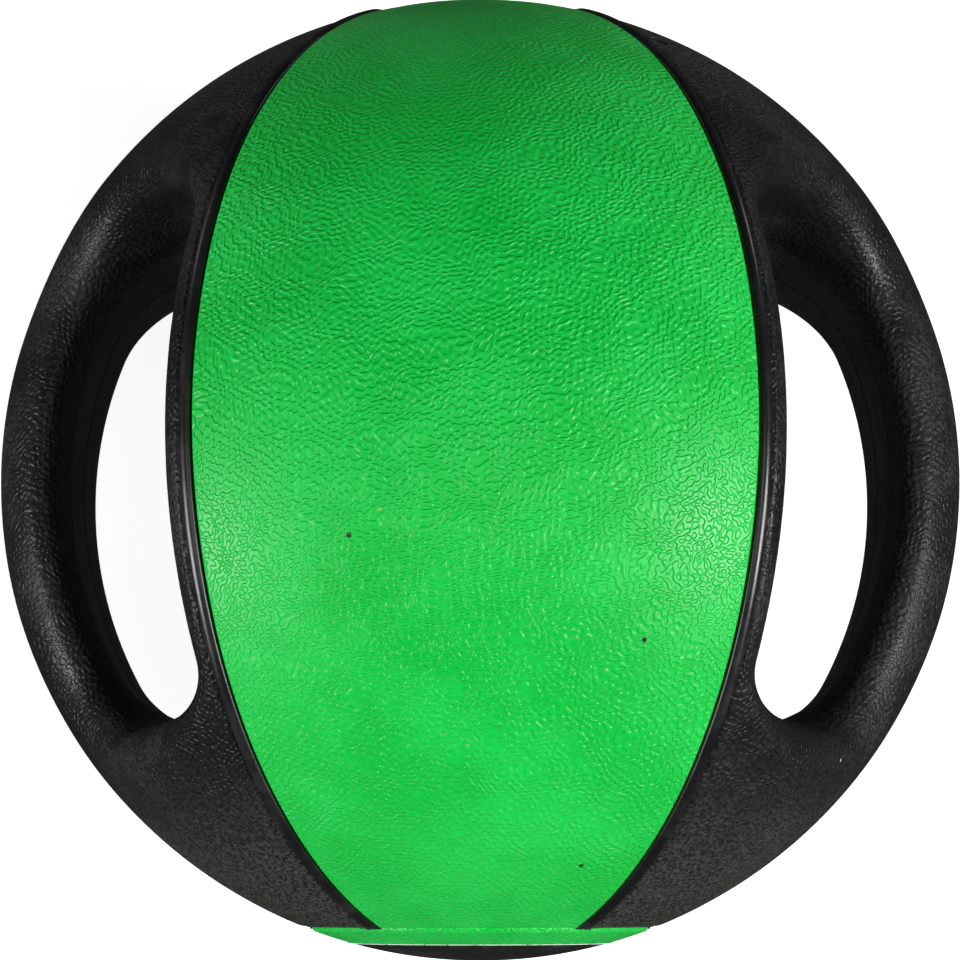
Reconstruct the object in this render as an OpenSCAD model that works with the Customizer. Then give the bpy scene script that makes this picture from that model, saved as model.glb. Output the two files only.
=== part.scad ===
// Dual-grip medicine ball: a hollow, weighted rubber ball with a finger slot
// moulded through each side, so that the wall left outside it is a handle.
// Z is up through the two coloured panels, X runs through the two grips, and
// Y runs through the two end discs. The origin is the centre of the ball.

/* [Ball] */
// Outside diameter of the ball
ball_d = 280; // [250:1:340]
// Thickness of the outer rubber: panels, covers and the lining of the slots
skin_t = 6; // [4:0.5:8]
// Thickness of the weighted carcass round the bladder
carcass_t = 16; // [12:0.5:22]
// Thickness of the carcass between the bladder and the end of a finger slot
side_wall_t = 10; // [8:0.5:16]

/* [Panels and seams] */
// Lean of each panel edge away from the upright middle plane, in degrees
panel_lean = 29.6; // [26:0.2:34]
// Distance from the centre of the ball to the plane of a panel edge
panel_offset = 2.8; // [1:0.2:6]
// Width of the groove between a panel and the bead beside it
seam_gap = 0.5; // [0.3:0.1:1]
// Width of the smooth bead beside a panel
bead_w = 3.6; // [2.5:0.1:5]
// Depth of the bead below the surface of the ball
bead_depth = 3; // [2:0.5:3.5]
// Height of the bead above the surface of the ball
bead_proud = 0.8; // [0.4:0.1:1.2]

/* [Finger slots and grips] */
// Width of the cover between a panel and a finger slot, bead included
border_w = 8.9; // [8:0.1:12]
// Length of a finger slot along Y
slot_len = 145; // [116:1:156]
// Radius of the slot's two corners beside the grip
grip_corner_r = 14; // [10:1:30]
// Radius of the slot's two corners beside the body of the ball
body_corner_r = 12; // [5:0.5:16]
// Extra room at each end of the slot where it meets the surface
mouth_flare = 5; // [3:0.5:12]
// Thickness of a grip, from the surface of the ball to the slot
grip_t = 22.4; // [20:0.2:26]
// Distance from each end of the slot to where a grip joins the cover
grip_joint = 6; // [4:0.5:10]
// Width of the flat inner face of a grip
grip_flat_w = 43; // [30:1:46]
// Radius of the two edges between that face and the sides of a grip
edge_r = 10; // [6:0.5:12]
// Thickness of the stiff core in a grip
core_t = 9; // [6:0.5:12]
// Width of the stiff core in a grip
core_w = 34; // [24:1:38]
// Length of core that is buried past each end of the slot
core_anchor = 26; // [15:1:32]

/* [End discs] */
// Diameter of a coloured end disc
disc_d = 97.5; // [85:0.5:105]
// Diameter of a badge
badge_d = 74.6; // [60:0.2:80]
// Thickness of a badge
badge_t = 2.4; // [1.6:0.2:3.2]
// Width of the pale ring round a badge
badge_ring_w = 1.2; // [0.8:0.1:2]
// How far an end disc laps over the edge of its flat seat on the carcass
disc_lap = 1; // [0.5:0.5:3]

/* [Bladder and valve] */
// Wall of the bladder
bladder_t = 2.5; // [1.5:0.1:4]
// Distance along the surface from the rim of the rear end disc to the valve
valve_from_disc = 38; // [28:1:42]
// Distance from the outer edge of the bead to the valve
valve_from_bead = 4.6; // [4:0.2:8]
// Radius of the rubber boss that holds the valve
seat_r = 8; // [6:0.5:9]
// Radius of the valve insert
insert_r = 3; // [2.4:0.1:3.2]
// Radius of the needle hole through the insert
needle_r = 1; // [0.8:0.1:1.2]
// Length of boss and insert inside the bladder
valve_inside = 4; // [2:0.5:8]

/* [Hidden] */
// Sides of a circle in the preview
$fn = 128;

ball_r = ball_d / 2;
inner_r = ball_r - skin_t;
bladder_r = inner_r - carcass_t;
half_slot = slot_len / 2;
grip_in_r = ball_r - grip_t;
disc_r = disc_d / 2;
badge_r = badge_d / 2;
far = 2 * ball_r;
// How far a cutting shape runs past what it cuts
over = 2;

// Distance from the middle plane to a plane parallel to the panel edge, d
// further out, where the sphere's section at y has the radius r.
function edge_x(r, d) = r * sin(panel_lean + asin((panel_offset + d) / r));
// The rim of a slot beside the body, at the middle of the slot and at its ends.
rim_mid_x = edge_x(ball_r, border_w);
rim_end_x = edge_x(sqrt(pow(ball_r, 2) - pow(half_slot, 2)), border_w);
// The wall below that rim is a cylinder along Z, on the body side of the slot.
rim_sag = rim_mid_x - rim_end_x;
wall_r = (pow(half_slot, 2) + pow(rim_sag, 2)) / (2 * rim_sag);
wall_x = rim_mid_x - wall_r;
half_flat = grip_flat_w / 2;
// The carcass stands back by the skin from the slot, and the bladder keeps
// its side wall to the narrowest place, at the end of the slot.
lining_end = half_slot + skin_t;
lining_x = wall_x + sqrt(pow(wall_r - skin_t, 2) - pow(lining_end, 2));
bladder_x = lining_x - side_wall_t;
// An end disc seats on a flat of the carcass that it covers all over.
disc_seat_y = sqrt(pow(inner_r, 2) - pow(disc_r - disc_lap, 2));
// The core lies in the middle of the grip's thickness.
core_r = (ball_r + grip_in_r) / 2;
core_angle = asin(half_slot / core_r) + core_anchor / core_r * 180 / PI;
// The valve comes up beside the upper right bead, part of the way from the
// rear disc's rim to the slot. Its height over the panel edge plane and its
// place along Y give its two angles.
valve_edge_d = panel_offset + seam_gap / 2 + bead_w + valve_from_bead;
valve_y = ball_r * cos(asin(disc_r / ball_r) + valve_from_disc / ball_r * 180 / PI);
valve_up = sqrt(pow(ball_r, 2) - pow(valve_y, 2) - pow(valve_edge_d, 2));
valve_x = valve_edge_d * cos(panel_lean) + valve_up * sin(panel_lean);
valve_z = valve_up * cos(panel_lean) - valve_edge_d * sin(panel_lean);
valve_turn = atan2(valve_y, valve_x);
valve_lift = asin(valve_z / ball_r);

// ---- shapes that several pieces share ----

module ball(r) {
    sphere(r = r);
}

// The space between two planes parallel to the upper right panel edge, at
// the distances a and b from the centre of the ball.
module edge_slab(a, b) {
    rotate([0, panel_lean, 0])
        translate([a, -far, -far])
            cube([b - a, 2 * far, 2 * far]);
}

// Everything above the parting plane.
module upper_half() {
    translate([-far, -far, 0])
        cube([2 * far, 2 * far, far]);
}

// A round hole along Y through both ends of the ball.
module end_bore(r) {
    rotate([90, 0, 0])
        cylinder(r = r, h = 2 * far, center = true);
}

// The outline of the slot in the parting plane: a D with rounded corners.
module slot_outline() {
    grip_y = half_slot - grip_corner_r;
    body_y = half_slot - body_corner_r;
    grip_x = sqrt(pow(grip_in_r - grip_corner_r, 2) - pow(grip_y, 2));
    body_x = wall_x + sqrt(pow(wall_r + body_corner_r, 2) - pow(body_y, 2));
    past_grip = 1 + 2 * grip_corner_r / (grip_in_r - grip_corner_r);
    difference() {
        intersection() {
            circle(r = grip_in_r);
            translate([0, -half_slot])
                square([grip_in_r, slot_len]);
        }
        translate([wall_x, 0])
            circle(r = wall_r);
        for (side = [0, 1])
            mirror([0, side]) {
                corner([grip_x, grip_y], grip_corner_r, past_grip * [grip_x, grip_y]);
                corner([body_x, body_y], body_corner_r, [wall_x, 0]);
            }
    }
}

// What a rounded corner of the slot takes away: the piece between the line
// from its centre towards the point past, where its arc meets the long side,
// and the end of the slot, less the arc's own circle.
module corner(centre, r, past) {
    difference() {
        polygon([centre, past, [past.x, half_slot + r], [centre.x, half_slot + r]]);
        translate(centre)
            circle(r = r);
    }
}

// All that lies outward of the body's wall, grown towards the body by grow.
module beyond_wall(grow) {
    linear_extrude(height = 2 * far, center = true)
        difference() {
            translate([0, -far])
                square([far, 2 * far]);
            translate([wall_x, 0])
                circle(r = wall_r - grow);
        }
}

// The slot's length seen along X, wider towards the surface of the ball.
module mouth_space(grow) {
    y0 = half_slot + grow;
    y1 = y0 + mouth_flare;
    z1 = ball_r + over;
    rotate([90, 0, 90])
        linear_extrude(height = far)
            polygon([
                [-y0, -half_flat], [-y1, -z1], [y1, -z1], [y0, -half_flat],
                [y0, half_flat], [y1, z1], [-y1, z1], [-y0, half_flat]
            ]);
}

// The arched bar that a grip is, all the way round the parting plane. It
// runs out past the sphere, which trims it.
module grip_ring() {
    rotate_extrude()
        union() {
            translate([grip_in_r, -half_flat])
                square([grip_t + over, grip_flat_w]);
            translate([grip_in_r + edge_r, -half_flat - edge_r])
                square([grip_t + over - edge_r, grip_flat_w + 2 * edge_r]);
            for (side = [-1, 1])
                translate([grip_in_r + edge_r, side * half_flat])
                    circle(r = edge_r);
        }
}

// The right finger slot: the D straight through, and its mouth above and
// below the grip.
module finger_slot() {
    linear_extrude(height = 2 * far, center = true)
        slot_outline();
    difference() {
        intersection() {
            beyond_wall(0);
            mouth_space(0);
            union() {
                for (side = [0, 1])
                    mirror([0, 0, side])
                        translate([0, -far, half_flat])
                            cube([far, 2 * far, far]);
            }
        }
        grip_ring();
    }
}

// The right stiff core, an arched strip inside the grip.
module core_strip() {
    rotate([0, 0, -core_angle])
        rotate_extrude(angle = 2 * core_angle)
            union() {
                translate([core_r - core_t / 2, -(core_w - core_t) / 2])
                    square([core_t, core_w - core_t]);
                for (side = [-1, 1])
                    translate([core_r, side * (core_w - core_t) / 2])
                        circle(r = core_t / 2);
            }
}

// A round rod along the valve's direction, from radius a to radius b.
module valve_rod(r, a, b) {
    rotate([0, -valve_lift, valve_turn])
        translate([a, 0, 0])
            rotate([0, 90, 0])
                cylinder(r = r, h = b - a);
}

// The bladder's outside, grown by grow: a ball with its two sides cut flat.
module bladder_form(grow) {
    intersection() {
        ball(bladder_r + grow);
        cube([2 * (bladder_x + grow), far, far], center = true);
    }
}

// The inside of the rubber skin: a ball with a flat seat at each end.
module skin_inside() {
    intersection() {
        ball(inner_r);
        cube([far, 2 * disc_seat_y, far], center = true);
    }
}

// The right finger slot with the rubber that lines it.
module lined_slot() {
    intersection() {
        beyond_wall(skin_t);
        mouth_space(skin_t);
    }
}

// The weighted block under the skin, with the bladder's room in it.
module carcass_block() {
    difference() {
        skin_inside();
        for (side = [0, 1])
            mirror([side, 0, 0]) {
                lined_slot();
                core_strip();
            }
        bladder_form(0);
        valve_rod(seat_r, 0, ball_r);
    }
}

// ---- the pieces ----

module panel() {
    color("limegreen")
        difference() {
            intersection() {
                ball(ball_r);
                edge_slab(-far, panel_offset - seam_gap / 2);
                mirror([1, 0, 0])
                    edge_slab(-far, panel_offset - seam_gap / 2);
            }
            ball(inner_r);
            end_bore(disc_r);
        }
}

// The upper half of the right side's black rubber, cover and grip together.
module side_moulding() {
    color("dimgray")
        difference() {
            intersection() {
                ball(ball_r);
                edge_slab(panel_offset + seam_gap / 2, far);
                upper_half();
            }
            difference() {
                skin_inside();
                lined_slot();
            }
            difference() {
                edge_slab(-far, panel_offset + seam_gap / 2 + bead_w);
                ball(ball_r - bead_depth);
            }
            finger_slot();
            core_strip();
            end_bore(disc_r);
        }
}

// The space of the right grip between its two joints with the cover.
module grip_space() {
    translate([rim_mid_x + over, grip_joint - half_slot, -ball_r])
        cube([far, slot_len - 2 * grip_joint, ball_d]);
}

module cover() {
    difference() {
        side_moulding();
        grip_space();
    }
}

module grip() {
    intersection() {
        side_moulding();
        grip_space();
    }
}

// The cover with the hole that the valve insert fills.
module valve_cover() {
    difference() {
        cover();
        valve_rod(insert_r, 0, far);
    }
}

// The bead beside the right edge of the upper panel.
module bead() {
    color("black")
        difference() {
            intersection() {
                ball(ball_r + bead_proud);
                edge_slab(panel_offset + seam_gap / 2, panel_offset + seam_gap / 2 + bead_w);
                upper_half();
            }
            ball(ball_r - bead_depth);
            end_bore(disc_r);
        }
}

// The disc at the rear end, with the shallow round seat of its badge.
module end_disc() {
    color("limegreen")
        difference() {
            intersection() {
                ball(ball_r);
                end_bore(disc_r - seam_gap);
                translate([-far, disc_seat_y, -far])
                    cube(2 * far);
            }
            difference() {
                end_bore(badge_r);
                ball(ball_r - badge_t);
            }
        }
}

module badge() {
    color("black")
        badge_shell(badge_r - badge_ring_w, 0);
}

module badge_ring() {
    color("white")
        badge_shell(badge_r, badge_r - badge_ring_w);
}

// The part of the rear badge's thickness between two radii.
module badge_shell(outer, inner) {
    difference() {
        intersection() {
            ball(ball_r);
            end_bore(outer);
            translate([-far, 0, -far])
                cube(2 * far);
        }
        ball(ball_r - badge_t);
        if (inner > 0)
            end_bore(inner);
    }
}

module bladder() {
    color("tan")
        difference() {
            bladder_form(0);
            bladder_form(-bladder_t);
            valve_rod(seat_r, 0, ball_r);
        }
}

module valve_seat() {
    color("tan")
        difference() {
            intersection() {
                valve_rod(seat_r, bladder_r - valve_inside, ball_r);
                ball(inner_r);
            }
            valve_rod(insert_r, 0, ball_r);
        }
}

module valve_insert() {
    color("dimgray")
        difference() {
            intersection() {
                valve_rod(insert_r, bladder_r - valve_inside, ball_r + over);
                ball(ball_r);
            }
            valve_rod(needle_r, 0, ball_r + over);
        }
}

module upper_carcass() {
    color("gray")
        intersection() {
            carcass_block();
            upper_half();
        }
}

module lower_carcass() {
    color("gray")
        difference() {
            carcass_block();
            upper_half();
        }
}

panel();  // upper_panel
mirror([0, 0, 1]) panel();  // lower_panel
mirror([1, 0, 0]) cover();  // left_cover_upper
mirror([1, 0, 0]) mirror([0, 0, 1]) cover();  // left_cover_lower
valve_cover();  // right_cover_upper
mirror([0, 0, 1]) cover();  // right_cover_lower
mirror([1, 0, 0]) grip();  // left_grip_upper
mirror([1, 0, 0]) mirror([0, 0, 1]) grip();  // left_grip_lower
grip();  // right_grip_upper
mirror([0, 0, 1]) grip();  // right_grip_lower
mirror([1, 0, 0]) bead();  // upper_left_bead
bead();  // upper_right_bead
mirror([1, 0, 0]) mirror([0, 0, 1]) bead();  // lower_left_bead
mirror([0, 0, 1]) bead();  // lower_right_bead
mirror([1, 0, 0]) color("silver") core_strip();  // left_grip_core
color("silver") core_strip();  // right_grip_core
mirror([0, 1, 0]) end_disc();  // front_end_disc
end_disc();  // rear_end_disc
mirror([0, 1, 0]) badge();  // front_badge
badge();  // rear_badge
mirror([0, 1, 0]) badge_ring();  // front_badge_ring
badge_ring();  // rear_badge_ring
upper_carcass();
lower_carcass();
bladder();
valve_seat();
valve_insert();
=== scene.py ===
"""Dual-grip medicine ball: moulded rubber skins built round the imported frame.

Z is up through the two green panels, X runs through the grips and Y through
the end discs. The four quarters of black rubber are meshed from one distance
field, so that slot, grip and cover flow into each other, and are then cut at
the seams. Panels, beads, discs, badges and the valve are swept or turned.
"""
import math

import bmesh
import bpy
import numpy as np
from mathutils import Matrix, Vector
from mathutils.geometry import delaunay_2d_cdt


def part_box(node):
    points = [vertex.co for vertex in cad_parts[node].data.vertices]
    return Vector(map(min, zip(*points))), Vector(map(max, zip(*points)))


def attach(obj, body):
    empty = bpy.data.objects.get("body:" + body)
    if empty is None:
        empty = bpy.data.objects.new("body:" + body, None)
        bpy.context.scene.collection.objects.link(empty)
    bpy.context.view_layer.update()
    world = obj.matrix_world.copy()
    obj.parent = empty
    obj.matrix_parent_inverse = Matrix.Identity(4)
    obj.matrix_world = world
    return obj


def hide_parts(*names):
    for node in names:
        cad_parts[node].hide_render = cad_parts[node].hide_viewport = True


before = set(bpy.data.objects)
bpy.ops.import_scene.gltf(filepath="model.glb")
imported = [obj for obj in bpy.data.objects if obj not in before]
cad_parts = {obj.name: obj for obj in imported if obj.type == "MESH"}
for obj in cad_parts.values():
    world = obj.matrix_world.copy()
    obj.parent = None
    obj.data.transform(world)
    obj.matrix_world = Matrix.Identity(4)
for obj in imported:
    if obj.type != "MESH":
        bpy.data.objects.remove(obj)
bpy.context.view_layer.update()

MM = 0.001

# ---------------------------------------------------------------- sizes

BALL_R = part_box("upper_panel")[1].z
SEAM_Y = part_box("upper_panel")[1].y           # where the end discs begin
DISC_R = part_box("rear_end_disc")[1].x
DISC_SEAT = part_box("rear_end_disc")[0].y
RING_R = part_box("rear_badge_ring")[1].x
BADGE_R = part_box("rear_badge")[1].x
BLADDER_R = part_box("bladder")[1].z
SKIN = 6 * MM
LEAN = math.radians(29.6)                     # of each panel edge plane
EDGE = 2.8 * MM                               # its distance from the centre
GAP = 0.5 * MM
BEAD_W = 3.6 * MM
BEAD_DEPTH = 3 * MM
BEAD_PROUD = 0.8 * MM
BORDER = 8.7 * MM
HALF_SLOT = 72 * MM
SLOT_SHIFT = 3.5 * MM                         # of both slots, towards the front end
GRIP_SHIFT = 2 * MM                           # of the grips' inside arc, the same way
SLOT_CORNERS = (16 * MM, 28 * MM)            # by the grip, at the slot's front and rear ends
BODY_CORNERS = (13 * MM, 17 * MM)            # by the body, at the same ends
ROLL_IN, ROLL_OUT = 3.5 * MM, 17 * MM        # edge radii, by the body and at the slot's ends
GRIP_T = 22.6 * MM
HALF_FLAT = 21.5 * MM
GRIP_EDGE = 12 * MM
CORE_T = 9 * MM
CORE_W = 34 * MM
BADGE_T = 2.4 * MM
VALVE_TURN, VALVE_LIFT = math.radians(66.21), math.radians(27.76)
VALVE_R = 3 * MM
NEEDLE_R = 1 * MM
SEAM_ROUND = 0.8 * MM                         # edge radius of panels, beads and discs at their seams
NEAR_SEAM = np.array([0, 0.2, 0.45, 0.8, 1.3]) * MM   # the close rows of points along a seam
ROW_STEP = 2.2 * MM

GRIP_IN = BALL_R - GRIP_T
HALF_GRIP = HALF_FLAT + GRIP_EDGE
CORE_R = (BALL_R + GRIP_IN) / 2
CORE_ANCHOR = 26 * MM                         # how far a grip core reaches into the body
CORE_END = math.asin(HALF_SLOT / CORE_R) + CORE_ANCHOR / CORE_R
PLANE = np.array([math.cos(LEAN), 0, -math.sin(LEAN)])


def edge_x(r, d):
    """x where the plane d outside a panel edge meets a circle of radius r about Y."""
    return r * math.sin(LEAN + math.asin((EDGE + d) / r))


RIM_MID = edge_x(BALL_R, BORDER)
RIM_SAG = RIM_MID - edge_x(math.sqrt(BALL_R**2 - HALF_SLOT**2), BORDER)
WALL_R = (HALF_SLOT**2 + RIM_SAG**2) / (2 * RIM_SAG)
WALL_X = RIM_MID - WALL_R

# ---------------------------------------------------------------- the black rubber's field


def round_and(a, b, r):
    """Distance to what lies in both a and b, with their shared edge rounded to r."""
    both = np.hypot(np.maximum(a + r, 0), np.maximum(b + r, 0))
    return np.minimum(-r, np.maximum(a, b)) + both


def round_or(a, b, r):
    return -round_and(-a, -b, r)


def ease(x, lo, hi):
    t = np.clip((x - lo) / (hi - lo), 0, 1)
    return t * t * (3 - 2 * t)


def swell(p):
    """The slight unevenness of moulded rubber, as a depth below the true sphere."""
    x, y, z = p[..., 0], p[..., 1], p[..., 2]
    wave = np.sin(61 * x + 23 * y + 1.3) * np.sin(57 * y - 31 * z + 0.4)
    wave = wave + 0.6 * np.sin(97 * z + 41 * x - 0.8) * np.sin(83 * y + 52 * x + 2.1)
    return 0.09 * MM * (1.6 + wave)


def outside_wall(p):
    return WALL_R - np.hypot(p[..., 0] - WALL_X, p[..., 1])


def past_end(p):
    return np.abs(p[..., 1] + SLOT_SHIFT) - HALF_SLOT


def slot_space(p):
    """Negative in the right finger slot and in its mouths above and below the grip."""
    at_front = p[..., 1] < 0
    around = np.hypot(p[..., 0], p[..., 1] + GRIP_SHIFT)
    off_bar = round_or(around - GRIP_IN, HALF_GRIP - np.abs(p[..., 2]), GRIP_EDGE)
    slot = round_and(off_bar, past_end(p), np.where(at_front, *SLOT_CORNERS))
    return round_and(slot, outside_wall(p), np.where(at_front, *BODY_CORNERS))


def side_body(p):
    """The whole right side of the ball, with its slot: crisp beside the body, round at the grip."""
    rim = ROLL_IN + (ROLL_OUT - ROLL_IN) * ease(-outside_wall(p), 1 * MM, 22 * MM)
    sphere = np.linalg.norm(p, axis=-1) - BALL_R + swell(p)
    return round_and(sphere, -slot_space(p), rim)


def carcass_room(p):
    block = round_and(np.linalg.norm(p, axis=-1) - (BALL_R - SKIN), np.abs(p[..., 1]) - DISC_SEAT, 2 * MM)
    return round_and(block, SKIN - np.maximum(past_end(p), outside_wall(p)), 3 * MM)


def core_room(p):
    around = np.hypot(p[..., 0], p[..., 1])
    side = np.maximum(np.abs(p[..., 2]) - (CORE_W - CORE_T) / 2, 0)
    strip = np.hypot(side, around - CORE_R) - CORE_T / 2
    return round_and(strip, around * (np.arctan2(np.abs(p[..., 1]), p[..., 0]) - CORE_END), 2 * MM)


def side_rubber(p):
    return np.maximum(side_body(p), -round_or(carcass_room(p), core_room(p), 2 * MM))


def gradient(field, p, h=0.02 * MM):
    steps = np.eye(3) * h
    return np.stack([(field(p + s) - field(p - s)) / (2 * h) for s in steps], axis=-1)


def unit(v):
    return v / np.maximum(np.linalg.norm(v, axis=-1, keepdims=True), 1e-12)


def settle(field, p, rounds=4):
    """Moves points onto the field's zero, so that the mesh has no voxel ripple."""
    for _ in range(rounds):
        g = gradient(field, p)
        p = p - g * (field(p) / np.maximum((g * g).sum(-1), 0.2))[..., None]
    return p


CUBE = [np.array([i >> 2 & 1, i >> 1 & 1, i & 1]) for i in range(8)]


def surface_net(field, lo, hi, step):
    """(points, quads) of the field's zero surface in a box, one point in each cell that it crosses."""
    axes = [np.arange(a, b + step, step) for a, b in zip(lo, hi)]
    f = field(np.stack(np.meshgrid(*axes, indexing="ij"), axis=-1))
    inside = f < 0
    n = np.array(f.shape)
    count = sum(inside[c[0]:n[0] - 1 + c[0], c[1]:n[1] - 1 + c[1], c[2]:n[2] - 1 + c[2]].astype(int) for c in CUBE)
    active = (count > 0) & (count < 8)
    cells = np.argwhere(active)
    number = np.full(active.shape, -1)
    number[active] = np.arange(len(cells))
    total, hits = np.zeros((len(cells), 3)), np.zeros(len(cells))
    for a in CUBE:
        for k in np.flatnonzero(a == 0):
            b = a + np.eye(3, dtype=int)[k]
            fa, fb = f[tuple((cells + a).T)], f[tuple((cells + b).T)]
            cross = (fa < 0) != (fb < 0)
            t = fa[cross] / (fa[cross] - fb[cross])
            total[cross] += a + t[:, None] * (b - a)
            hits[cross] += 1
    points = np.array(lo) + step * (cells + total / hits[:, None])
    quads = []
    for k in range(3):
        e, ei, ej = np.eye(3, dtype=int)[[k, (k + 1) % 3, (k + 2) % 3]]
        low, high = np.ones(3, int) - e, n - 1
        span = tuple(slice(a, b) for a, b in zip(low, high))
        after = tuple(slice(a + d, b + d) for a, b, d in zip(low, high, e))
        flips = np.argwhere(inside[span] != inside[after]) + low
        leaving = inside[tuple(flips.T)]
        ring = [number[tuple((flips - d).T)] for d in (0 * e, ei, ei + ej, ej)]
        quad = np.stack(ring, axis=1)
        quad[~leaving] = quad[~leaving][:, ::-1]
        quads.append(quad)
    return points, np.concatenate(quads)


# ---------------------------------------------------------------- mesh helpers


def new_mesh(name, points, faces):
    mesh = bpy.data.meshes.new(name)
    mesh.from_pydata([tuple(p) for p in points], [], [tuple(f) for f in faces])
    mesh.validate()
    return mesh


def add_piece(name, mesh, material, nodes, sharp=35):
    """A shown piece that stands for CAD nodes and rides on the ball."""
    mesh.name = name
    mesh.materials.clear()
    mesh.materials.append(material)
    mesh.polygons.foreach_set("use_smooth", [True] * len(mesh.polygons))
    mesh.set_sharp_from_angle(angle=math.radians(sharp))
    piece = bpy.data.objects.new(name, mesh)
    bpy.context.collection.objects.link(piece)
    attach(piece, "root")
    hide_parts(*nodes)
    return piece


def mirrored(mesh, name, x=1, z=1):
    copy = mesh.copy()
    copy.name = name
    co = np.empty(len(copy.vertices) * 3, np.float32)
    copy.vertices.foreach_get("co", co)
    co = co.reshape(-1, 3) * np.array([x, 1, z], np.float32)
    copy.vertices.foreach_set("co", co.reshape(-1))
    if x * z < 0:
        copy.flip_normals()
    return copy


def cut(bm, at, normal):
    """Takes away what lies on the normal's side of a plane, and closes the cut, holes left open."""
    geom = bm.verts[:] + bm.edges[:] + bm.faces[:]
    bmesh.ops.bisect_plane(bm, geom=geom, dist=1e-7, plane_co=at, plane_no=normal, clear_outer=True)
    edges = [e for e in bm.edges if len(e.link_faces) == 1]
    corners = list({v for e in edges for v in e.verts})
    number = {v: i for i, v in enumerate(corners)}
    flat = Vector(normal).rotation_difference(Vector((0, 0, 1)))
    places = [(flat @ v.co).to_2d() * 1000 for v in corners]
    lines = np.array([[number[v] for v in e.verts] for e in edges])
    _, _, faces, came_from, _, _ = delaunay_2d_cdt(places, lines.tolist(), [], 1, 1e-5)
    faces = np.array([[came_from[i][0] for i in face] for face in faces])
    outline = np.array(places)
    for face in faces[odd_crossings(outline[faces].mean(1), outline[lines])]:
        bm.faces.new([corners[i] for i in face])
    bmesh.ops.recalc_face_normals(bm, faces=bm.faces[:])


def odd_crossings(points, lines):
    """Which points lie inside the closed loops that the lines make up."""
    a, b = lines[:, 0], lines[:, 1]
    px, py = points[:, :1], points[:, 1:]
    spans = (a[:, 1] > py) != (b[:, 1] > py)
    rise = np.where(np.abs(b[:, 1] - a[:, 1]) < 1e-12, 1, b[:, 1] - a[:, 1])
    return (spans & (px < a[:, 0] + (py - a[:, 1]) * (b[:, 0] - a[:, 0]) / rise)).sum(1) % 2 == 1


def score(bm, at, normal):
    """Adds the edges where a plane crosses the mesh."""
    geom = bm.verts[:] + bm.edges[:] + bm.faces[:]
    bmesh.ops.bisect_plane(bm, geom=geom, dist=1e-7, plane_co=at, plane_no=normal)


def grid_faces(rows, cols, start=0, flip=False):
    """Quads of a grid of rows by cols points."""
    quads = []
    for i in range(rows - 1):
        for j in range(cols - 1):
            a = start + i * cols + j
            q = (a, a + 1, a + cols + 1, a + cols)
            quads.append(q[::-1] if flip else q)
    return quads


def edge_drop(d, r):
    """How far a rounded edge of radius r has fallen at the distance d from its end."""
    inside = np.clip(r - d, 0, r)
    return r - np.sqrt(r * r - inside * inside)


# ---------------------------------------------------------------- covers with their grips

VOXEL = 1.2 * MM
COVER_TOP = 122 * MM                          # above the highest point of a cover
SEAM_STEPS = (0.5 * MM, 1.3 * MM)             # rows of points beside a seam, for its rounded edge
PARTING_GROOVE, BEAD_GROOVE, DISC_GROOVE = 0.7 * MM, 0.5 * MM, 0.6 * MM


def seam_groove(away, depth):
    """How far the seam's rounded edge lies below the surface at the distance away."""
    return depth * (1 - ease(away, 0, SEAM_STEPS[1])) ** 1.5


def cover_mesh():
    """The upper right quarter of the black rubber: cover, slot lining and half a grip."""
    side = EDGE + GAP / 2 + BEAD_W
    end = SEAM_Y - GAP / 2
    spare = 4 * VOXEL

    def roughed(p):
        """The rubber with a little to spare past each seam, where the cuts take it off."""
        beyond = np.maximum(side - spare - p @ PLANE, np.abs(p[..., 1]) - end - spare)
        return np.maximum(side_rubber(p), np.maximum(beyond, -p[..., 2] - spare))

    margin = 3 * VOXEL
    lo = (-margin, -end - spare - margin, -spare - margin)
    hi = (BALL_R + margin, end + spare + margin, COVER_TOP)
    points, quads = surface_net(roughed, lo, hi, VOXEL)
    kept = (points @ PLANE > side - spare / 2) & (np.abs(points[:, 1]) < end + spare / 2)
    kept &= points[:, 2] > -spare / 2
    points[kept] = settle(side_rubber, points[kept])
    bm = bmesh.new()
    bm.from_mesh(new_mesh("cover", points, quads))
    for at, normal in (
        ((0, 0, 0), (0, 0, -1)),
        (PLANE * side, -PLANE),
        ((0, end, 0), (0, 1, 0)),
        ((0, -end, 0), (0, -1, 0)),
    ):
        cut(bm, tuple(at), tuple(normal))
    for step in SEAM_STEPS:
        score(bm, (0, 0, step), (0, 0, 1))
        score(bm, tuple(PLANE * (side + step)), tuple(PLANE))
        score(bm, (0, end - step, 0), (0, 1, 0))
        score(bm, (0, step - end, 0), (0, 1, 0))
    bmesh.ops.recalc_face_normals(bm, faces=bm.faces[:])
    mesh = bpy.data.meshes.new("cover")
    bm.to_mesh(mesh)
    bm.free()
    co = np.empty(len(mesh.vertices) * 3)
    mesh.vertices.foreach_get("co", co)
    co = co.reshape(-1, 3)
    outer = np.abs(side_body(co)) < 0.05 * MM
    drop = seam_groove(co[:, 2], PARTING_GROOVE)
    drop = np.maximum(drop, seam_groove(co @ PLANE - side, BEAD_GROOVE))
    drop = np.maximum(drop, seam_groove(end - np.abs(co[:, 1]), DISC_GROOVE))
    co[outer] -= (unit(gradient(side_body, co)) * drop[:, None])[outer]
    mesh.vertices.foreach_set("co", co.reshape(-1))
    mesh.update()
    return mesh


# ---------------------------------------------------------------- panels and beads


def rows_along_y():
    """Places along Y from seam to seam, closer together at both ends."""
    end = SEAM_Y - GAP / 2
    middle = np.linspace(-end + 2 * MM, end - 2 * MM, int(2 * end / ROW_STEP))
    return np.concatenate([-end + NEAR_SEAM, middle, (end - NEAR_SEAM)[::-1]])


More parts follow.
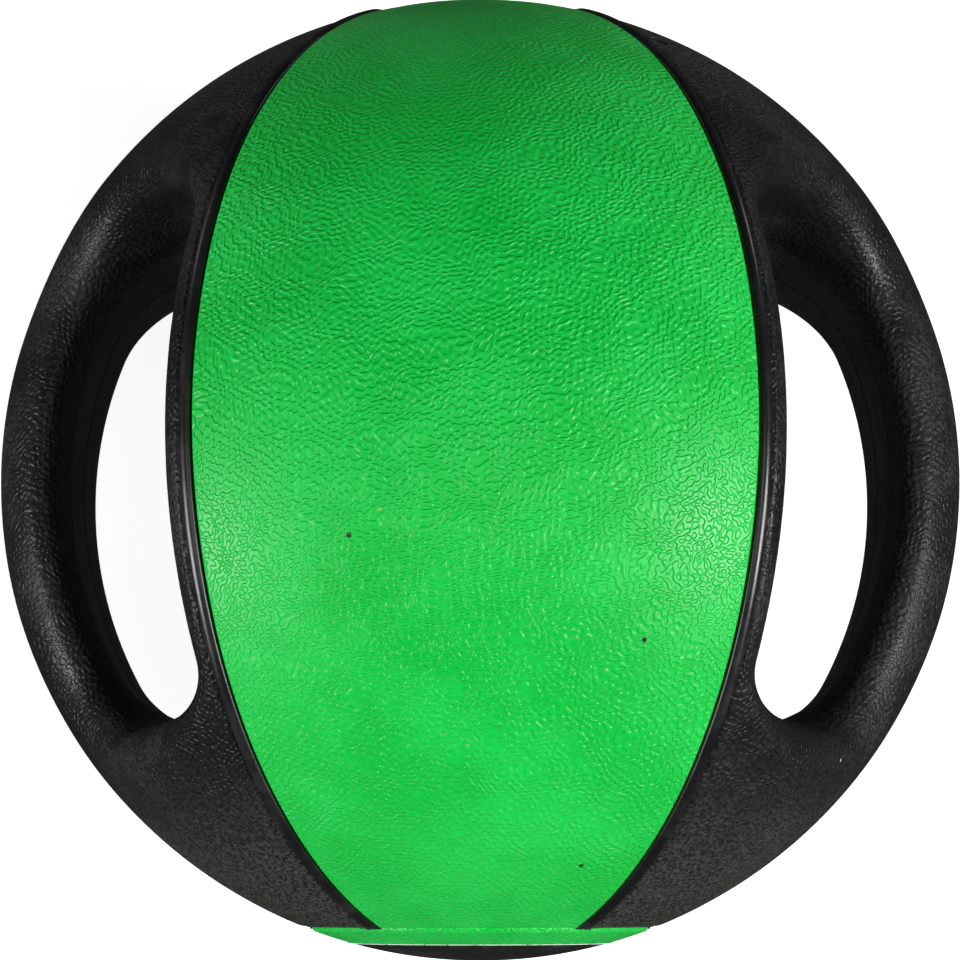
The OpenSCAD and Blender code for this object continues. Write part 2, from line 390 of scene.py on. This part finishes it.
def panel_mesh():
    """The upper panel: a lens of sphere with rounded edges, and its inside face."""
    across = 64
    outer = []
    for y in rows_along_y():
        r = math.sqrt(BALL_R**2 - y * y)
        half = LEAN + math.asin((EDGE - GAP / 2) / r)
        left = -half + NEAR_SEAM / r
        middle = np.linspace(-half + 2 * MM / r, half - 2 * MM / r, across)
        turn = np.concatenate([left, middle, -left[::-1]])
        to_side = (half - np.abs(turn)) * r
        to_end = SEAM_Y - GAP / 2 - abs(y)
        drop = np.maximum(edge_drop(to_side, SEAM_ROUND), edge_drop(to_end, SEAM_ROUND))
        at = np.stack([r * np.sin(turn), np.full(len(turn), y), r * np.cos(turn)], axis=-1)
        outer.append(at * (1 - (drop + swell(at)) / BALL_R)[:, None])
    outer = np.array(outer)
    return closed_sheet(outer, (BALL_R - SKIN) / BALL_R)


def closed_sheet(outer, scale):
    """A closed mesh from a grid of points on the outside and its copy scaled towards the centre."""
    rows, cols = outer.shape[:2]
    flat = outer.reshape(-1, 3)
    inner = unit(flat) * BALL_R * scale
    n = rows * cols
    faces = grid_faces(rows, cols, flip=True) + grid_faces(rows, cols, start=n)
    ring = [j for j in range(cols)] + [i * cols + cols - 1 for i in range(1, rows)]
    ring += [n - 1 - j for j in range(1, cols)] + [(rows - 1 - i) * cols for i in range(1, rows - 1)]
    for a, b in zip(ring, ring[1:] + ring[:1]):
        faces.append((a, b, b + n, a + n))
    mesh = new_mesh("sheet", np.concatenate([flat, inner]), faces)
    return outward(mesh)


def outward(mesh):
    bm = bmesh.new()
    bm.from_mesh(mesh)
    bmesh.ops.recalc_face_normals(bm, faces=bm.faces[:])
    bm.to_mesh(mesh)
    bm.free()
    return mesh


def bead_mesh():
    """The bead beside the upper panel's right edge: a low arch swept along the seam."""
    foot, fullness = 0.7 * MM, 0.8
    turns = np.linspace(0, math.pi, 15)
    arch = [(0.5 - 0.5 * math.cos(t), -foot + (BEAD_PROUD + foot) * math.sin(t) ** fullness) for t in turns]
    outline = arch + [(1, -BEAD_DEPTH), (0, -BEAD_DEPTH)]
    points, faces = [], []
    rows = rows_along_y()
    for y in rows:
        to_end = SEAM_Y - GAP / 2 - abs(y)
        sink = edge_drop(to_end, SEAM_ROUND)
        for across, height in outline:
            r = math.sqrt((BALL_R + height - (sink if height > -BEAD_DEPTH else 0)) ** 2 - y * y)
            turn = LEAN + math.asin((EDGE + GAP / 2 + across * BEAD_W) / r)
            at = np.array([r * math.sin(turn), y, r * math.cos(turn)])
            points.append(at * (1 - swell(at) / BALL_R))
    k = len(outline)
    for i in range(len(rows) - 1):
        for j in range(k):
            a, b = i * k + j, i * k + (j + 1) % k
            faces.append((a, b, b + k, a + k))
    last = (len(rows) - 1) * k
    faces += [tuple(range(k)), tuple(range(last, last + k))]
    return outward(new_mesh("bead", points, faces))


# ---------------------------------------------------------------- turned pieces


def turned(name, outline, along, segments=160):
    """A closed mesh of an outline of (radius, height), turned about an axis through the centre."""
    along = Vector(along).normalized()
    u = along.orthogonal().normalized()
    v = along.cross(u)
    points, faces, rings = [], [], []
    for r, h in outline:
        base = along * h
        if r < 1e-9:
            rings.append([len(points)] * segments)
            points.append(base)
        else:
            rings.append(list(range(len(points), len(points) + segments)))
            turns = [2 * math.pi * i / segments for i in range(segments)]
            points += [base + u * (r * math.cos(t)) + v * (r * math.sin(t)) for t in turns]
    open_ends = outline[0] != outline[-1] and outline[0][0] > 1e-9
    pairs = list(zip(rings, rings[1:] + rings[:1])) if open_ends else list(zip(rings, rings[1:]))
    for low, high in pairs:
        for i in range(segments):
            j = (i + 1) % segments
            face = [low[i], low[j], high[j], high[i]]
            face = [p for n, p in enumerate(face) if p != face[n - 1]]
            if len(face) > 2:
                faces.append(face)
    return outward(new_mesh(name, points, faces))


def dome(r, ball_r):
    return math.sqrt(ball_r**2 - r * r)


def rounded(d, edge):
    """edge_drop for one place, d millimetres from the edge."""
    return float(edge_drop(np.float64(d * MM), edge))


def disc_outline():
    """The end disc: a plug with a domed green rim round the badge's seat."""
    rim, seat_round = DISC_R, 0.5 * MM
    outside = [(rim - d * MM, dome(rim - d * MM, BALL_R) - rounded(d, SEAM_ROUND)) for d in (0, 0.1, 0.25, 0.5, 0.8)]
    middle = [(r, dome(r, BALL_R)) for r in np.linspace(rim - 1.4 * MM, RING_R + 1.2 * MM, 14)]
    inside = [(RING_R + d * MM, dome(RING_R, BALL_R) - rounded(d, seat_round)) for d in (0.5, 0.3, 0.12, 0)]
    seat = [(r, dome(r, BALL_R - BADGE_T)) for r in np.linspace(RING_R, 0, 16)]
    return [(0, DISC_SEAT), (rim, DISC_SEAT)] + outside + middle + inside + seat


def badge_outline():
    """The badge: a domed black disc with a softly rounded edge."""
    edge = 0.4 * MM
    top = [(r, dome(r, BALL_R)) for r in np.linspace(0, BADGE_R - 0.8 * MM, 22)]
    side = [(BADGE_R - d * MM, dome(BADGE_R, BALL_R) - rounded(d, edge)) for d in (0.4, 0.2, 0.08, 0)]
    under = [(r, dome(r, BALL_R - BADGE_T)) for r in np.linspace(BADGE_R, 0, 16)]
    return top + side + under


def ring_outline():
    """The fine raised ring round the badge."""
    middle, half = (RING_R + BADGE_R) / 2, (RING_R - BADGE_R) / 2
    foot, rise = dome(middle, BALL_R) - 0.25 * MM, 0.3 * MM
    arch = [(middle + half * math.cos(t), foot + rise * math.sin(t)) for t in np.linspace(0, math.pi, 9)]
    return arch + [(BADGE_R, dome(BADGE_R, BALL_R - BADGE_T)), (RING_R, dome(RING_R, BALL_R - BADGE_T))]


VALVE_AXIS = Vector((
    math.cos(VALVE_LIFT) * math.cos(VALVE_TURN),
    math.cos(VALVE_LIFT) * math.sin(VALVE_TURN),
    math.sin(VALVE_LIFT),
))


def valve_outline():
    """The valve insert: a rounded lip, a funnel and the needle's hole down its length."""
    top = BALL_R - 0.35 * MM
    foot = BLADDER_R - 4 * MM
    body = VALVE_R - 0.06 * MM
    lip_r, funnel_r = 0.4 * MM, 0.7 * MM
    lip = [(body - lip_r * (1 - math.cos(t)), top - lip_r * (1 - math.sin(t)))
           for t in np.linspace(0, math.pi / 2, 5)]
    funnel = [(NEEDLE_R + funnel_r * (1 - math.sin(t)), top - funnel_r * (1 - math.cos(t)))
              for t in np.linspace(0, math.pi / 2, 6)]
    return [(body, foot)] + lip + funnel + [(NEEDLE_R, foot)]


def bored(mesh, outline, along):
    """The mesh with a turned tool taken out of it."""
    tool = bpy.data.objects.new("tool", turned("tool", outline, along, segments=64))
    body = bpy.data.objects.new("body", mesh)
    for o in (tool, body):
        bpy.context.collection.objects.link(o)
    cutter = body.modifiers.new("bore", "BOOLEAN")
    cutter.operation, cutter.solver, cutter.object = "DIFFERENCE", "EXACT", tool
    result = bpy.data.meshes.new_from_object(body.evaluated_get(bpy.context.evaluated_depsgraph_get()))
    for o in (tool, body):
        bpy.data.objects.remove(o)
    return result


# ---------------------------------------------------------------- materials


class Nodes:
    """A short way to write a material's node tree."""

    def __init__(self, name):
        self.material = bpy.data.materials.new(name)
        self.material.use_nodes = True
        self.tree = self.material.node_tree
        self.shader = self.tree.nodes["Principled BSDF"]
        self.at = self.add("ShaderNodeTexCoord").outputs["Object"]

    def add(self, kind, values=None, links=None, **settings):
        node = self.tree.nodes.new(kind)
        for key, value in settings.items():
            setattr(node, key, value)
        for key, value in (values or {}).items():
            node.inputs[key].default_value = value
        for key, socket in (links or {}).items():
            self.tree.links.new(socket, node.inputs[key])
        return node

    def noise(self, scale, detail=2, roughness=0.5, at=None):
        values = {"Scale": scale, "Detail": detail, "Roughness": roughness}
        return self.add("ShaderNodeTexNoise", values, {"Vector": at or self.at}).outputs["Fac"]

    def spots(self, scale):
        """Distance from each cell's middle, and the cell's own random numbers."""
        node = self.add("ShaderNodeTexVoronoi", {"Scale": scale}, {"Vector": self.at})
        picks = self.add("ShaderNodeSeparateColor", links={"Color": node.outputs["Color"]}).outputs
        return node.outputs["Distance"], picks

    def ramp(self, value, lo, hi, to_lo=0.0, to_hi=1.0):
        """to_lo at lo, to_hi at hi and a smooth step between them."""
        values = {"From Min": lo, "From Max": hi, "To Min": to_lo, "To Max": to_hi}
        node = self.add("ShaderNodeMapRange", values, {"Value": value}, interpolation_type="SMOOTHSTEP")
        return node.outputs["Result"]

    def math(self, operation, a, b=None):
        node = self.add("ShaderNodeMath", operation=operation)
        for i, value in enumerate((a, b)):
            if isinstance(value, (int, float)):
                node.inputs[i].default_value = value
            elif value is not None:
                self.tree.links.new(value, node.inputs[i])
        return node.outputs["Value"]

    def mix(self, fac, a, b):
        node = self.add("ShaderNodeMix", data_type="RGBA")
        for key, value in (("Factor", fac), ("A", a), ("B", b)):
            socket = next(s for s in node.inputs if s.name == key and s.enabled)
            if isinstance(value, bpy.types.NodeSocket):
                self.tree.links.new(value, socket)
            else:
                socket.default_value = value if key == "Factor" else (*value, 1)
        return next(s for s in node.outputs if s.enabled)

    def bump(self, height, distance, strength=1.0):
        values = {"Distance": distance, "Strength": strength}
        return self.add("ShaderNodeBump", values, {"Height": height}).outputs["Normal"]

    def finish(self, color, roughness, normal=None, **values):
        """Wires up the shader; the further values go on its own sockets."""
        for key, value in values.items():
            self.shader.inputs[key.replace("_", " ").title().replace("Ior", "IOR")].default_value = value
        for key, socket in (("Base Color", color), ("Roughness", roughness), ("Normal", normal)):
            if isinstance(socket, bpy.types.NodeSocket):
                self.tree.links.new(socket, self.shader.inputs[key])
            elif socket is not None:
                self.shader.inputs[key].default_value = socket
        return self.material


def wrinkles(n, size, seed=0.0):
    """The mould's grain: worm-like ridges about size metres apart, from 0 to 1.

    Plain waves along the axes of an icosahedron are bent by noise and added,
    which makes short winding ridges of one width in every direction.
    """
    warp = n.add("ShaderNodeTexNoise", {"Scale": 0.19 / size, "Detail": 0.0}, {"Vector": n.at}).outputs["Color"]
    reach = (3 * size,) * 3
    bend = n.add("ShaderNodeVectorMath", {1: reach}, {0: warp}, operation="MULTIPLY").outputs["Vector"]
    bent = n.add("ShaderNodeVectorMath", links={0: n.at, 1: bend}, operation="ADD").outputs["Vector"]
    golden = (1 + math.sqrt(5)) / 2
    axes = [Vector(v).normalized() for v in (
        (0, 1, golden), (0, 1, -golden), (1, golden, 0), (1, -golden, 0), (golden, 0, 1), (-golden, 0, 1),
    )]
    total = None
    for i, axis in enumerate(axes):
        turns = 2 * math.pi / size * (1 + 0.09 * math.sin(2.4 * i + seed))
        dot = n.add("ShaderNodeVectorMath", {1: tuple(axis * turns)}, {0: bent}, operation="DOT_PRODUCT")
        wave = n.math("SINE", n.math("ADD", dot.outputs["Value"], 1.7 * i + seed))
        total = wave if total is None else n.math("ADD", total, wave)
    return n.ramp(total, -1.5, 1.9)


GRAIN = 1.6 * MM


def green_rubber():
    """The panels' rubber: grained, faintly clouded, with black specks and a few yellow flecks; darker in the grain's
    valleys, which is painted shade.
    """
    n = Nodes("green_rubber")
    grain = wrinkles(n, GRAIN)
    stain = n.noise(30, detail=3, roughness=0.6)
    base = n.mix(n.ramp(stain, 0.35, 0.65), (0.001, 0.49, 0.048), (0.003, 0.57, 0.066))
    # Darker green in the grain's valleys: painted shade in the creases, beside the bump.
    base = n.mix(n.ramp(grain, 0, 1, 0.14, 0), base, (0.001, 0.30, 0.022))
    near, picks = n.spots(70)
    speck = n.math("MULTIPLY", n.ramp(near, 0.035, 0.06, 1, 0), n.ramp(picks["Red"], 0.80, 0.82))
    base = n.mix(speck, base, (0.02, 0.03, 0.01))
    fleck = n.math("MULTIPLY", n.ramp(near, 0.05, 0.09, 1, 0), n.ramp(picks["Green"], 0.965, 0.97))
    base = n.mix(fleck, base, (0.75, 0.62, 0.02))
    rough = n.ramp(stain, 0.3, 0.7, 0.36, 0.46)
    return n.finish(base, rough, n.bump(grain, 0.26 * MM), specular_ior_level=0.34)


def black_rubber():
    """The covers' rubber: grained and dusty, with painted shade in the grain's valleys, a dusty tone inside the
    grips made lighter as painted light, and dust with a painted sheen towards the ends.
    """
    n = Nodes("black_rubber")
    grain = wrinkles(n, GRAIN, 0.9)
    dust = n.noise(26, detail=4, roughness=0.7)
    grit = n.noise(900, detail=2, roughness=0.7)
    # Darker in the grain's valleys: painted shade in the creases, beside the bump.
    base = n.mix(n.ramp(grain, 0, 1, 0.6, 0), (0.010, 0.010, 0.011), (0.004, 0.004, 0.004))
    worn = n.math("MULTIPLY", n.ramp(dust, 0.40, 0.74), n.ramp(grit, 0.38, 0.62))
    base = n.mix(n.math("MULTIPLY", worn, 0.5), base, (0.060, 0.059, 0.049))
    # Lighter tone on the grips' inner faces: dust, made lighter as painted light where little light reaches.
    place = n.add("ShaderNodeSeparateXYZ", links={"Vector": n.at}).outputs
    x, y, z = place["X"], place["Y"], place["Z"]
    around = n.math("SQRT", n.math("ADD", n.math("MULTIPLY", x, x), n.math("MULTIPLY", y, y)))
    inside = n.ramp(around, GRIP_IN + 1 * MM, GRIP_IN + 6 * MM, 1, 0)
    inside = n.math("MULTIPLY", inside, n.ramp(n.math("ABSOLUTE", z), HALF_FLAT, HALF_GRIP, 1, 0))
    base = n.mix(n.math("MULTIPLY", inside, n.ramp(grit, 0.3, 0.6, 0.3, 1)), base, (0.055, 0.053, 0.036))
    # Lighter towards both end discs: partly dust, partly a painted sheen at the grazing edges there.
    ends = n.ramp(n.math("ABSOLUTE", y), 80 * MM, 125 * MM)
    ends = n.math("MULTIPLY", ends, n.ramp(grit, 0.42, 0.58, 0.15, 1))
    base = n.mix(n.math("MULTIPLY", ends, 0.62), base, (0.088, 0.088, 0.074))
    near, picks = n.spots(60)
    speck = n.math("MULTIPLY", n.ramp(near, 0.03, 0.045, 1, 0), n.ramp(picks["Red"], 0.9, 0.92))
    base = n.mix(speck, base, (0.35, 0.34, 0.30))
    rough = n.math("ADD", n.ramp(dust, 0.3, 0.7, 0.34, 0.42), n.math("MULTIPLY", worn, 0.15))
    return n.finish(base, rough, n.bump(grain, 0.15 * MM), specular_ior_level=0.22)


def bead_rubber():
    n = Nodes("bead_rubber")
    smear = n.noise(60, detail=4, roughness=0.6)
    base = n.mix(n.ramp(smear, 0.45, 0.7, 0, 0.5), (0.007, 0.007, 0.008), (0.035, 0.035, 0.032))
    normal = n.bump(n.noise(500, detail=2), 0.04 * MM, 0.5)
    return n.finish(base, n.ramp(smear, 0.3, 0.7, 0.24, 0.36), normal, specular_ior_level=0.45)


def badge_rubber():
    n = Nodes("badge_rubber")
    wear = n.noise(90, detail=5, roughness=0.7)
    base = n.mix(n.ramp(wear, 0.5, 0.72, 0, 0.4), (0.014, 0.014, 0.014), (0.09, 0.088, 0.08))
    normal = n.bump(n.noise(900, detail=3), 0.05 * MM, 0.6)
    return n.finish(base, n.ramp(wear, 0.3, 0.7, 0.40, 0.55), normal, specular_ior_level=0.2)


def ring_print():
    n = Nodes("ring_print")
    wear = n.noise(420, detail=3, roughness=0.6)
    base = n.mix(n.ramp(wear, 0.56, 0.64), (0.78, 0.79, 0.75), (0.10, 0.22, 0.11))
    return n.finish(base, n.ramp(wear, 0.4, 0.7, 0.45, 0.6), n.bump(wear, 0.06 * MM, 0.5))


def inner_rubber(name, dark, light, size):
    """A plain filled rubber with fine grit, for the pieces under the skin."""
    n = Nodes(name)
    grit = n.noise(1 / size, detail=5, roughness=0.65)
    cloud = n.noise(12, detail=3)
    base = n.mix(n.ramp(grit, 0.35, 0.65), dark, light)
    base = n.mix(n.ramp(cloud, 0.4, 0.7, 0, 0.3), base, tuple(0.6 * c for c in dark))
    return n.finish(base, n.ramp(grit, 0.3, 0.7, 0.55, 0.75), n.bump(grit, 0.15 * MM, 0.7))


def core_plastic():
    n = Nodes("core_plastic")
    fibre_at = n.add("ShaderNodeMapping", {"Scale": (1, 1, 9)}, {"Vector": n.at}).outputs["Vector"]
    fibre = n.noise(240, detail=4, roughness=0.7, at=fibre_at)
    base = n.mix(n.ramp(fibre, 0.35, 0.65), (0.62, 0.61, 0.56), (0.78, 0.77, 0.72))
    return n.finish(base, n.ramp(fibre, 0.3, 0.7, 0.35, 0.5), n.bump(fibre, 0.05 * MM, 0.6))


def floor_paint():
    n = Nodes("floor")
    tone = n.noise(3, detail=2)
    base = n.mix(n.ramp(tone, 0.4, 0.6), (0.90, 0.90, 0.90), (0.92, 0.92, 0.915))
    return n.finish(base, 0.9, emission_color=(1, 1, 1, 1), emission_strength=0.45)


GREEN, BLACK, BEAD = green_rubber(), black_rubber(), bead_rubber()
BADGE, RING = badge_rubber(), ring_print()
CARCASS = inner_rubber("carcass_rubber", (0.05, 0.05, 0.05), (0.10, 0.10, 0.095), 2.5 * MM)
BUTYL = inner_rubber("bladder_rubber", (0.28, 0.18, 0.10), (0.38, 0.27, 0.16), 4 * MM)
CORE = core_plastic()

# ---------------------------------------------------------------- the pieces


def build_covers():
    quarter = cover_mesh()
    for side, x in (("right", 1), ("left", -1)):
        for half, z in (("upper", 1), ("lower", -1)):
            name = f"{side}_cover_{half}"
            mesh = mirrored(quarter, name, x=x, z=z)
            if name == "right_cover_upper":
                below, above = BALL_R * 0.8, BALL_R * 1.1
                mesh = bored(mesh, [(0, below), (VALVE_R, below), (VALVE_R, above), (0, above)], VALVE_AXIS)
            add_piece(name + "_skin", mesh, BLACK, [name, f"{side}_grip_{half}"], sharp=50)


def build_panels():
    panel, bead = panel_mesh(), bead_mesh()
    for half, z in (("upper", 1), ("lower", -1)):
        add_piece(f"{half}_panel_skin", mirrored(panel, half, z=z), GREEN, [f"{half}_panel"], sharp=60)
        for side, x in (("right", 1), ("left", -1)):
            name = f"{half}_{side}_bead"
            add_piece(name + "_strip", mirrored(bead, name, x=x, z=z), BEAD, [name], sharp=60)


def build_ends():
    for end, y in (("rear", 1), ("front", -1)):
        for what, outline, material, slot in (
            ("end_disc", disc_outline(), GREEN, "panel_rubber"),
            ("badge", badge_outline(), BADGE, "badge_rubber"),
            ("badge_ring", ring_outline(), RING, "ring_print"),
        ):
            name = f"{end}_{what}"
            mesh = turned(name, outline, (0, y, 0))
            add_piece(name + "_cap", mesh, material, [name], sharp=60)


def build_valve():
    mesh = turned("valve", valve_outline(), VALVE_AXIS, segments=64)
    add_piece("valve_insert_lip", mesh, BADGE, ["valve_insert"], sharp=50)


def dress_inner_nodes():
    for material, nodes in (
        (CARCASS, ("upper_carcass", "lower_carcass")),
        (CORE, ("left_grip_core", "right_grip_core")),
        (BUTYL, ("bladder", "valve_seat")),
    ):
        for node in nodes:
            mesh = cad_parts[node].data
            mesh.materials.clear()
            mesh.materials.append(material)


build_covers()
build_panels()
build_ends()
build_valve()
dress_inner_nodes()

# ---------------------------------------------------------------- stage, light and camera


FLOOR_HALF = 4


def add_floor():
    """A pale floor under the ball, kept out of the gloss so that it doesn't whiten the black rubber."""
    corners = [(x * FLOOR_HALF, y * FLOOR_HALF, -BALL_R) for x, y in ((-1, -1), (1, -1), (1, 1), (-1, 1))]
    mesh = new_mesh("floor", corners, [(0, 1, 2, 3)])
    mesh.materials.append(floor_paint())
    floor = bpy.data.objects.new("floor", mesh)
    bpy.context.collection.objects.link(floor)
    floor.visible_glossy = False


def aim(o, up=(0, 0, 1)):
    """Turns a lamp or camera towards the ball."""
    back = o.location.normalized()
    right = Vector(up).cross(back).normalized()
    turn = Matrix((right, back.cross(right), back)).transposed().to_4x4()
    o.matrix_world = Matrix.Translation(o.location) @ turn


def add_softbox(name, at, size, power, up):
    light = bpy.data.lights.new(name, "AREA")
    light.shape, light.size, light.size_y = "RECTANGLE", size[0], size[1]
    light.energy = power
    lamp = bpy.data.objects.new(name, light)
    bpy.context.collection.objects.link(lamp)
    lamp.location = at
    aim(lamp, up=up)


def add_camera():
    """Looks down on the upper panel, from a little towards the front end."""
    lens = bpy.data.cameras.new("camera")
    lens.sensor_width = 36
    lens.lens = 97.5
    camera = bpy.data.objects.new("camera", lens)
    bpy.context.collection.objects.link(camera)
    away = 5.5 * BALL_R
    tilt, yaw = math.radians(9.3), math.radians(0.57)
    camera.location = (
        away * math.cos(tilt) * math.sin(yaw), -away * math.sin(tilt), away * math.cos(tilt) * math.cos(yaw),
    )
    aim(camera, up=(0, 1, 0))
    bpy.context.scene.camera = camera


def add_world():
    world = bpy.data.worlds.new("studio")
    world.use_nodes = True
    world.node_tree.nodes["Background"].inputs["Color"].default_value = (1, 1, 1, 1)
    world.node_tree.nodes["Background"].inputs["Strength"].default_value = 0.03
    bpy.context.scene.world = world


add_floor()
add_world()
for name, at, size, power, up in (
    ("left", (-1.26, -0.46, 0.66), (0.55, 0.55), 19, (0, 0, 1)),
    ("right", (1.20, -0.38, 0.80), (0.55, 0.55), 24, (0, 0, 1)),
    ("above", (0.0, -0.25, 1.35), (0.7, 0.7), 3.2, (0, 1, 0)),
    ("rear_left", (-1.15, 0.90, 0.16), (0.25, 0.25), 0.8, (0, 0, 1)),
    ("rear_right", (1.10, 0.95, 0.16), (0.25, 0.25), 1.2, (0, 0, 1)),
):
    add_softbox("softbox_" + name, at, size, power, up)
add_camera()
bpy.context.scene.view_settings.view_transform = "Standard"
